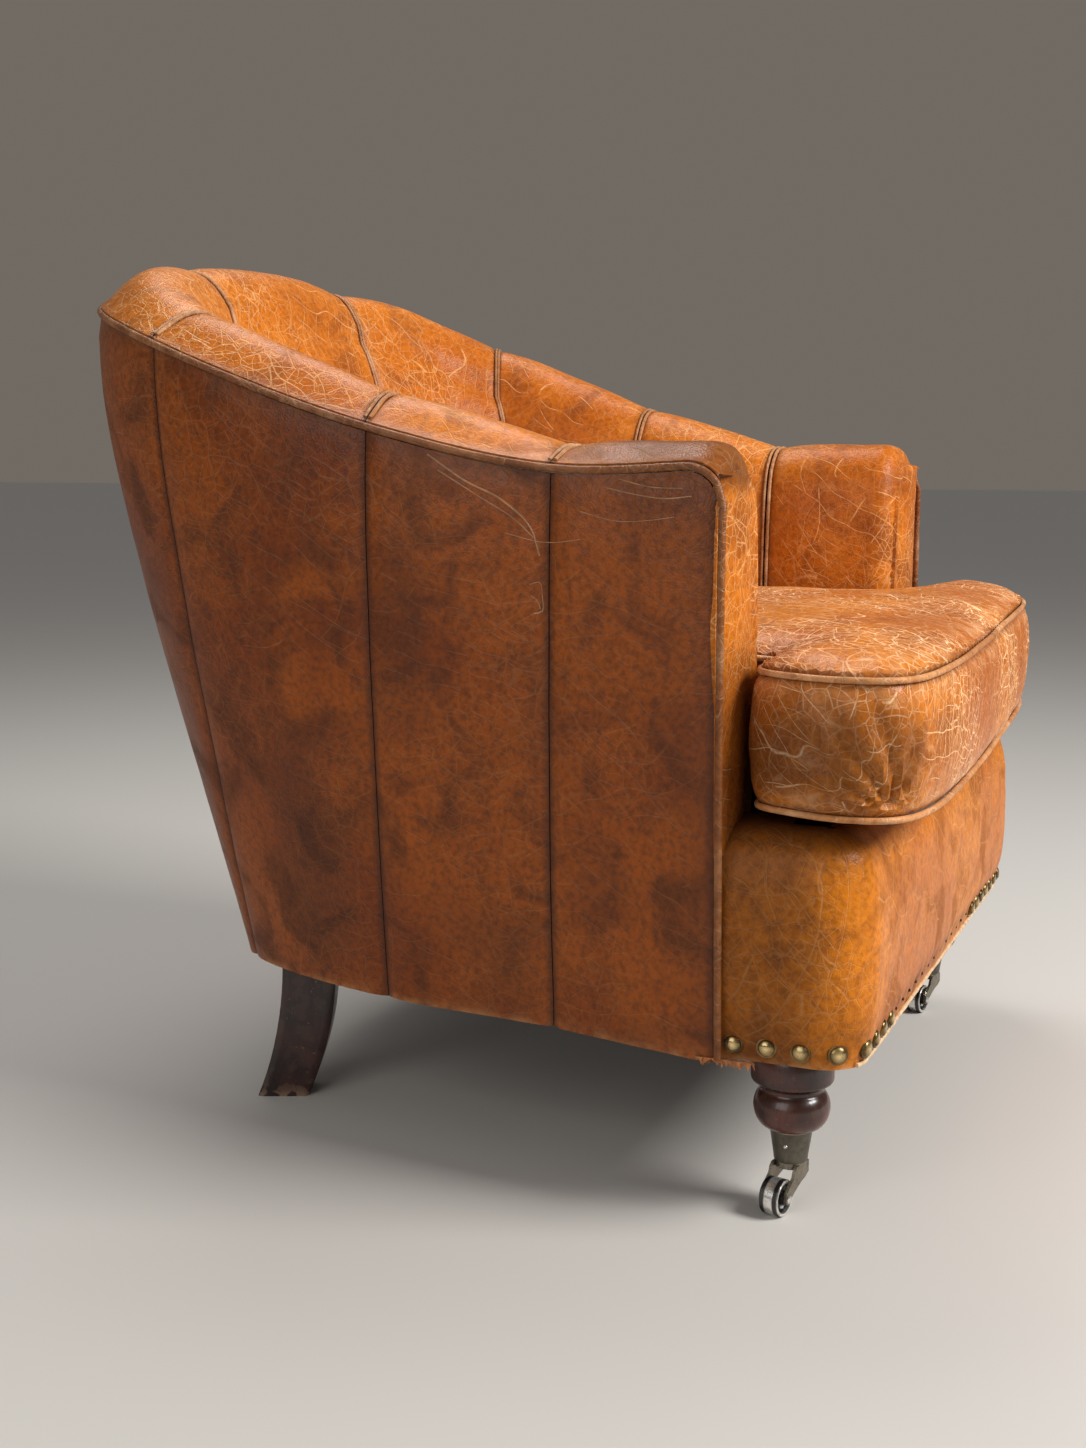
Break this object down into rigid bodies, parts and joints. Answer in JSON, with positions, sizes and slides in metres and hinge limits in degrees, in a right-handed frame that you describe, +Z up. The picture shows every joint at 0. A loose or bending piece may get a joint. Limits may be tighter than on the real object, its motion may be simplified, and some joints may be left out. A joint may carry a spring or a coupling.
{
  "type": "club chair",
  "caption": "Worn leather tub armchair with a channelled padded back, a loose T-shaped seat cushion, turned front legs on swivel casters and swept rear legs.",
  "frame": {"origin": "bottom centre of the whole chair, on the floor", "axes": "+Z up, the chair faces -Y, +X is towards the sitter's left"},
  "size_m": [0.7676, 0.8609, 0.816],
  "materials": {
    "outer_leather": "worn, mottled dark cognac",
    "inner_leather": "worn orange-tan, crackled",
    "cushion_leather": "worn orange-tan, creased",
    "cord_leather": "rubbed pale along the top",
    "beech": "bare",
    "spring_steel": "dull",
    "black_cloth": "dusty",
    "mahogany": "dark polished, chipped at the feet",
    "aged_brass": "tarnished, polished on its edges",
    "worn_steel": "scuffed"
  },
  "bodies": {
    "chair": {"arm_post_left": "beech", "arm_post_right": "beech", "arm_rail_left": "beech", "arm_rail_right": "beech", "back_post_left": "beech", "back_post_right": "beech", "back_slat": "beech", "back_top_rail": "beech", "caster_cup_left": "aged_brass", "caster_cup_right": "aged_brass", "channel_centre": "inner_leather", "channel_corner_left": "inner_leather", "channel_corner_right": "inner_leather", "channel_front_left": "inner_leather", "channel_front_right": "inner_leather", "channel_middle_left": "inner_leather", "channel_middle_right": "inner_leather", "channel_rear_left": "inner_leather", "channel_rear_right": "inner_leather", "corner_block_left": "beech", "corner_block_right": "beech", "cushion_cord_high": "cord_leather", "cushion_cord_low": "cord_leather", "dust_cover": "black_cloth", "edge_cord": "cord_leather", "front_border": "outer_leather", "front_leg_left": "mahogany", "front_leg_right": "mahogany", "outside_back": "outer_leather", "outside_front_left": "outer_leather", "outside_front_right": "outer_leather", "outside_middle_left": "outer_leather", "outside_middle_right": "outer_leather", "outside_rear_left": "outer_leather", "outside_rear_right": "outer_leather", "rail_front": "beech", "rail_rear": "beech", "rail_side_left": "beech", "rail_side_right": "beech", "rear_leg_left": "mahogany", "rear_leg_right": "mahogany", "seat_cushion": "cushion_leather", "seat_deck": "black_cloth", "seat_spring_1": "spring_steel", "seat_spring_2": "spring_steel", "seat_spring_3": "spring_steel", "welt_back_left": "cord_leather", "welt_back_right": "cord_leather", "welt_front_left": "cord_leather", "welt_front_right": "cord_leather", "welt_middle_left": "cord_leather", "welt_middle_right": "cord_leather", "welt_rear_left": "cord_leather", "welt_rear_right": "cord_leather"},
    "caster_right": {"caster_fork_right": "aged_brass", "caster_axle_right": "worn_steel"},
    "wheel_right": {"caster_wheel_right": "worn_steel"},
    "caster_left": {"caster_fork_left": "aged_brass", "caster_axle_left": "worn_steel"},
    "wheel_left": {"caster_wheel_left": "worn_steel"}
  },
  "joints": [
    {"name": "swivel_right", "type": "hinge", "parent": "chair", "child": "caster_right", "pos_m": [-0.292, -0.3115, 0.04], "axis": [0, 0, 1], "continuous": true},
    {"name": "roll_right", "type": "hinge", "parent": "caster_right", "child": "wheel_right", "pos_m": [-0.31645, -0.3063, 0.0155], "axis": [0.2079, 0.9781, 0], "continuous": true},
    {"name": "swivel_left", "type": "hinge", "parent": "chair", "child": "caster_left", "pos_m": [0.292, -0.3115, 0.04], "axis": [0, 0, 1], "continuous": true},
    {"name": "roll_left", "type": "hinge", "parent": "caster_left", "child": "wheel_left", "pos_m": [0.26755, -0.3063, 0.0155], "axis": [0.2079, 0.9781, 0], "continuous": true}
  ]
}
